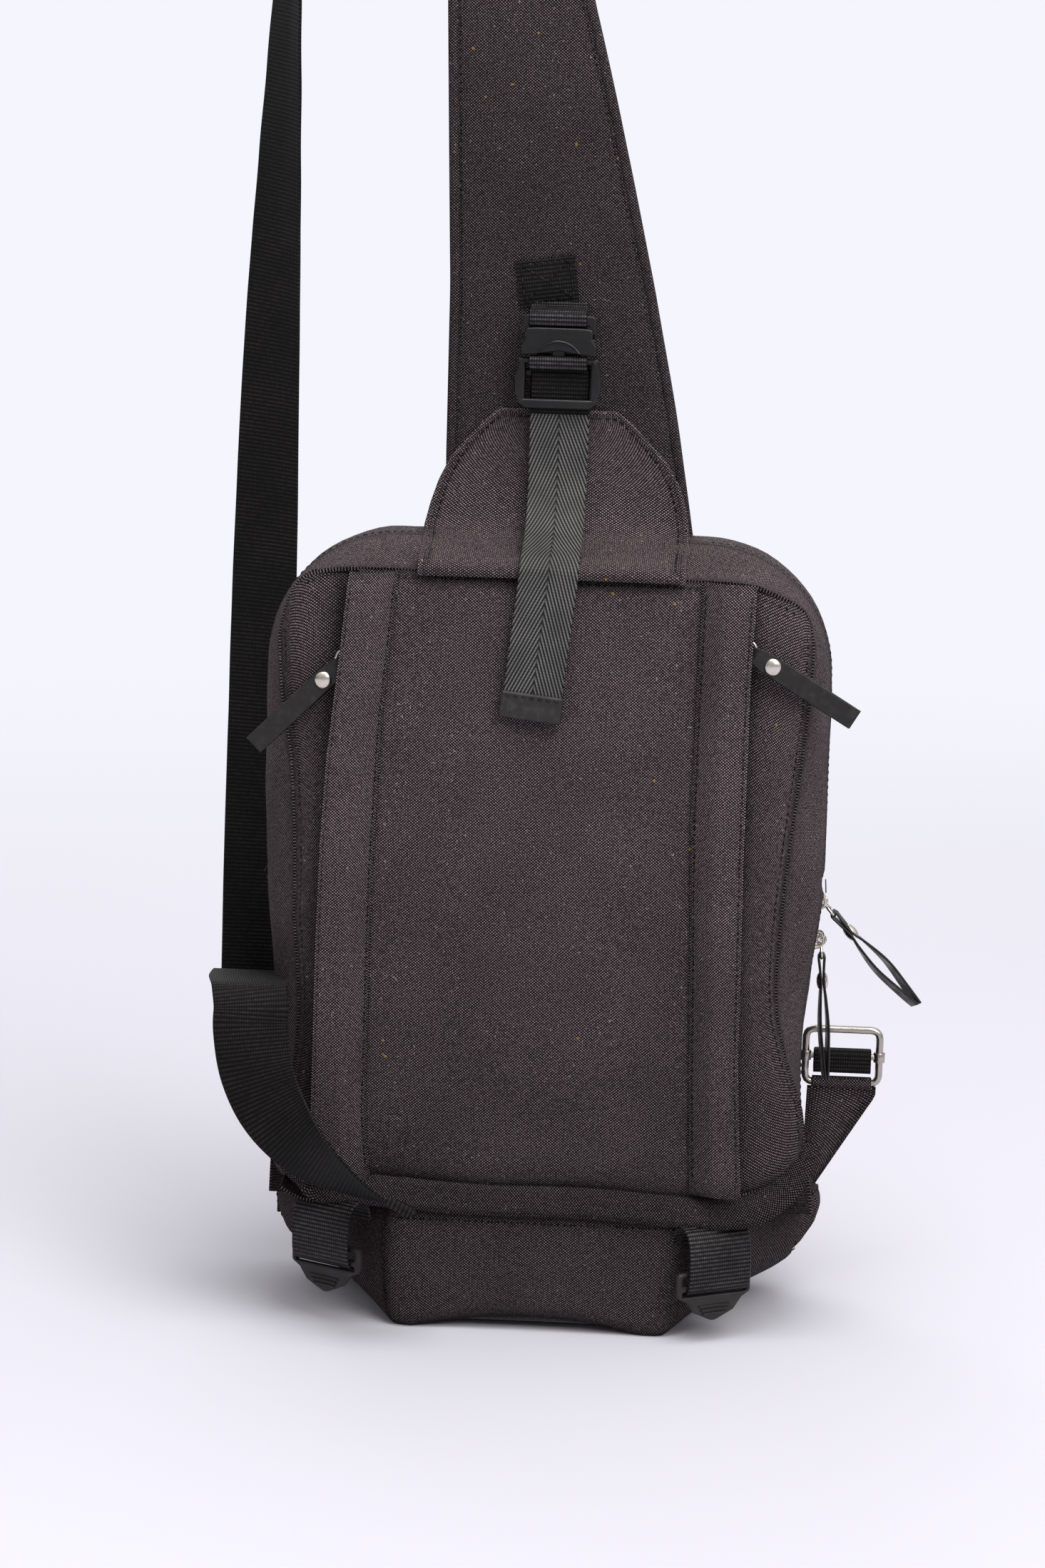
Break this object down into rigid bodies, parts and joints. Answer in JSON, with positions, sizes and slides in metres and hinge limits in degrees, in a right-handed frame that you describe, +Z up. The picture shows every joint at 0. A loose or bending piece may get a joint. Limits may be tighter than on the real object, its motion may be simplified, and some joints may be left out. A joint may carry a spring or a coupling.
{
  "type": "sling bag",
  "caption": "Canvas sling bag with a padded strap joined to webbing, a side-release buckle over the top and zipped front pocket with cover flaps and leather pulls",
  "frame": {"origin": "middle of the flat underside of the bottom section, on the surface it stands on", "axes": "+X to the right of the bag seen from its front, -Y out of the front, +Z up"},
  "size_m": [0.3305, 0.1567, 0.7997],
  "materials": {
    "canvas": "coarse plain-weave charcoal canvas, matt",
    "foam_board": "closed-cell foam",
    "lining_cloth": "thin plain lining",
    "zip_tape": "woven tape with moulded teeth",
    "grey_webbing": "herringbone webbing, slight sheen",
    "black_webbing": "ribbed webbing, slight sheen",
    "buckle_plastic": "fine satin",
    "black_leather": "smooth, low sheen",
    "bright_metal": "polished nickel",
    "dark_metal": "gunmetal"
  },
  "bodies": {
    "bag_body": {"bottom_tub": "canvas", "base_board": "foam_board", "main_gusset": "canvas", "main_front_wall": "canvas", "main_lining": "lining_cloth", "inner_slip_pocket": "lining_cloth", "main_zip_front": "zip_tape", "pocket_gusset": "canvas", "front_centre_panel": "canvas", "front_side_panel_left": "canvas", "front_side_panel_right": "canvas", "pocket_bottom_band": "canvas", "pocket_zip_left": "zip_tape", "pocket_zip_right": "zip_tape", "sling_strap": "canvas", "buckle_flap": "canvas", "buckle_webbing": "grey_webbing", "buckle_socket": "buckle_plastic", "socket_loop_webbing": "black_webbing", "socket_patch": "black_webbing", "shoulder_webbing": "black_webbing", "strap_tail": "black_webbing", "strap_slider_left": "bright_metal", "slider_bar_left": "bright_metal", "slider_tab_left": "canvas", "slider_tab_right": "canvas", "lower_loop_left": "black_webbing", "lower_loop_right": "black_webbing"},
    "rear_lid": {"rear_gusset": "canvas", "back_panel": "canvas", "back_foam": "foam_board", "main_zip_rear": "zip_tape"},
    "zip_flap_left_body": {"zip_flap_left": "canvas"},
    "zip_flap_right_body": {"zip_flap_right": "canvas"},
    "pocket_slider_left_body": {"pocket_slider_left": "dark_metal"},
    "pocket_slider_right_body": {"pocket_slider_right": "dark_metal"},
    "pocket_pull_left": {"pocket_pull_left_loop": "bright_metal", "pocket_pull_left_leather": "black_leather", "pocket_pull_left_rivet": "bright_metal"},
    "pocket_pull_right": {"pocket_pull_right_loop": "bright_metal", "pocket_pull_right_leather": "black_leather", "pocket_pull_right_rivet": "bright_metal"},
    "main_slider_upper_body": {"main_slider_upper": "dark_metal"},
    "main_slider_lower_body": {"main_slider_lower": "dark_metal"},
    "main_pull_upper": {"main_pull_upper_loop": "bright_metal", "main_pull_upper_leather": "black_leather", "main_pull_upper_rivet": "bright_metal"},
    "main_pull_lower": {"main_pull_lower_loop": "bright_metal", "main_pull_lower_leather": "black_leather", "main_pull_lower_rivet": "bright_metal"},
    "front_tail_body": {"front_tail": "grey_webbing", "front_tail_cap": "black_leather"},
    "buckle_male": {"buckle_frame": "buckle_plastic"},
    "prong_left": {"buckle_prong_left": "buckle_plastic"},
    "prong_right": {"buckle_prong_right": "buckle_plastic"},
    "slider_right_frame": {"strap_slider_right": "bright_metal"},
    "slider_right_bar": {"slider_bar_right": "bright_metal", "slider_keeper_webbing": "black_webbing"},
    "lock_left": {"ladder_lock_left": "buckle_plastic"},
    "lock_right": {"ladder_lock_right": "buckle_plastic"}
  },
  "joints": [
    {"name": "rear_lid_opens", "type": "hinge", "parent": "bag_body", "child": "rear_lid", "pos_m": [0, 0.06, 0.0532], "axis": [-1, 0, 0], "range_deg": [0, 50]},
    {"name": "zip_flap_left_lifts", "type": "hinge", "parent": "bag_body", "child": "zip_flap_left_body", "pos_m": [-0.07, -0.052, 0.23], "axis": [0, 0, 1], "range_deg": [0, 100], "stiffness_Nm_per_rad": 0.01},
    {"name": "zip_flap_right_lifts", "type": "hinge", "parent": "bag_body", "child": "zip_flap_right_body", "pos_m": [0.07, -0.052, 0.23], "axis": [0, 0, -1], "range_deg": [0, 100], "stiffness_Nm_per_rad": 0.01},
    {"name": "pocket_zip_left_runs", "type": "slide", "parent": "bag_body", "child": "pocket_slider_left_body", "axis": [0, 0, -1], "range_m": [0, 0.09]},
    {"name": "pocket_zip_right_runs", "type": "slide", "parent": "bag_body", "child": "pocket_slider_right_body", "axis": [0, 0, -1], "range_m": [0, 0.195]},
    {"name": "pocket_pull_left_swings", "type": "hinge", "parent": "pocket_slider_left_body", "child": "pocket_pull_left", "pos_m": [-0.0865, -0.0553, 0.308], "axis": [0, 1, 0], "range_deg": [-45, 45]},
    {"name": "pocket_pull_right_swings", "type": "hinge", "parent": "pocket_slider_right_body", "child": "pocket_pull_right", "pos_m": [0.0865, -0.0553, 0.318], "axis": [0, 1, 0], "range_deg": [-31, 59]},
    {"name": "main_zip_upper_runs", "type": "slide", "parent": "bag_body", "child": "main_slider_upper_body", "axis": [0, 0, 1], "range_m": [0, 0.105]},
    {"name": "main_zip_lower_runs", "type": "slide", "parent": "bag_body", "child": "main_slider_lower_body", "axis": [0, 0, -1], "range_m": [0, 0.07]},
    {"name": "main_pull_upper_swings", "type": "hinge", "parent": "main_slider_upper_body", "child": "main_pull_upper", "pos_m": [0.1274, 0.0263, 0.19], "axis": [0, -1, 0], "range_deg": [-16, 90]},
    {"name": "main_pull_lower_swings", "type": "hinge", "parent": "main_slider_lower_body", "child": "main_pull_lower", "pos_m": [0.1274, 0.0263, 0.172], "axis": [0, -1, 0], "range_deg": [-3, 32]},
    {"name": "front_tail_lifts", "type": "hinge", "parent": "bag_body", "child": "front_tail_body", "pos_m": [0.0006, -0.0554, 0.3476], "axis": [-1, 0, 0], "range_deg": [0, 90]},
    {"name": "buckle_unclips", "type": "slide", "parent": "bag_body", "child": "buckle_male", "axis": [0, 0, -1], "range_m": [0, 0.012]},
    {"name": "prong_left_squeezes", "type": "hinge", "parent": "buckle_male", "child": "prong_left", "pos_m": [-0.0116, -0.01665, 0.44], "axis": [0, 1, 0], "range_deg": [0, 8], "stiffness_Nm_per_rad": 0.2},
    {"name": "prong_right_squeezes", "type": "hinge", "parent": "buckle_male", "child": "prong_right", "pos_m": [0.0116, -0.01665, 0.44], "axis": [0, -1, 0], "range_deg": [0, 8], "stiffness_Nm_per_rad": 0.2},
    {"name": "right_slider_tips", "type": "hinge", "parent": "bag_body", "child": "slider_right_frame", "pos_m": [0.1418, 0.0475, 0.09975], "axis": [1, 0, 0], "range_deg": [-30, 30]},
    {"name": "right_slider_bar_moves", "type": "slide", "parent": "slider_right_frame", "child": "slider_right_bar", "axis": [0, 0, 1], "range_m": [-0.004, 0.006]},
    {"name": "ladder_lock_left_tips", "type": "hinge", "parent": "bag_body", "child": "lock_left", "pos_m": [-0.08703, -0.05041, 0.0234], "axis": [0.848, -0.5299, 0], "range_deg": [-12, 12]},
    {"name": "ladder_lock_right_tips", "type": "hinge", "parent": "bag_body", "child": "lock_right", "pos_m": [0.08703, -0.05041, 0.0234], "axis": [0.848, 0.5299, 0], "range_deg": [-12, 12]}
  ]
}
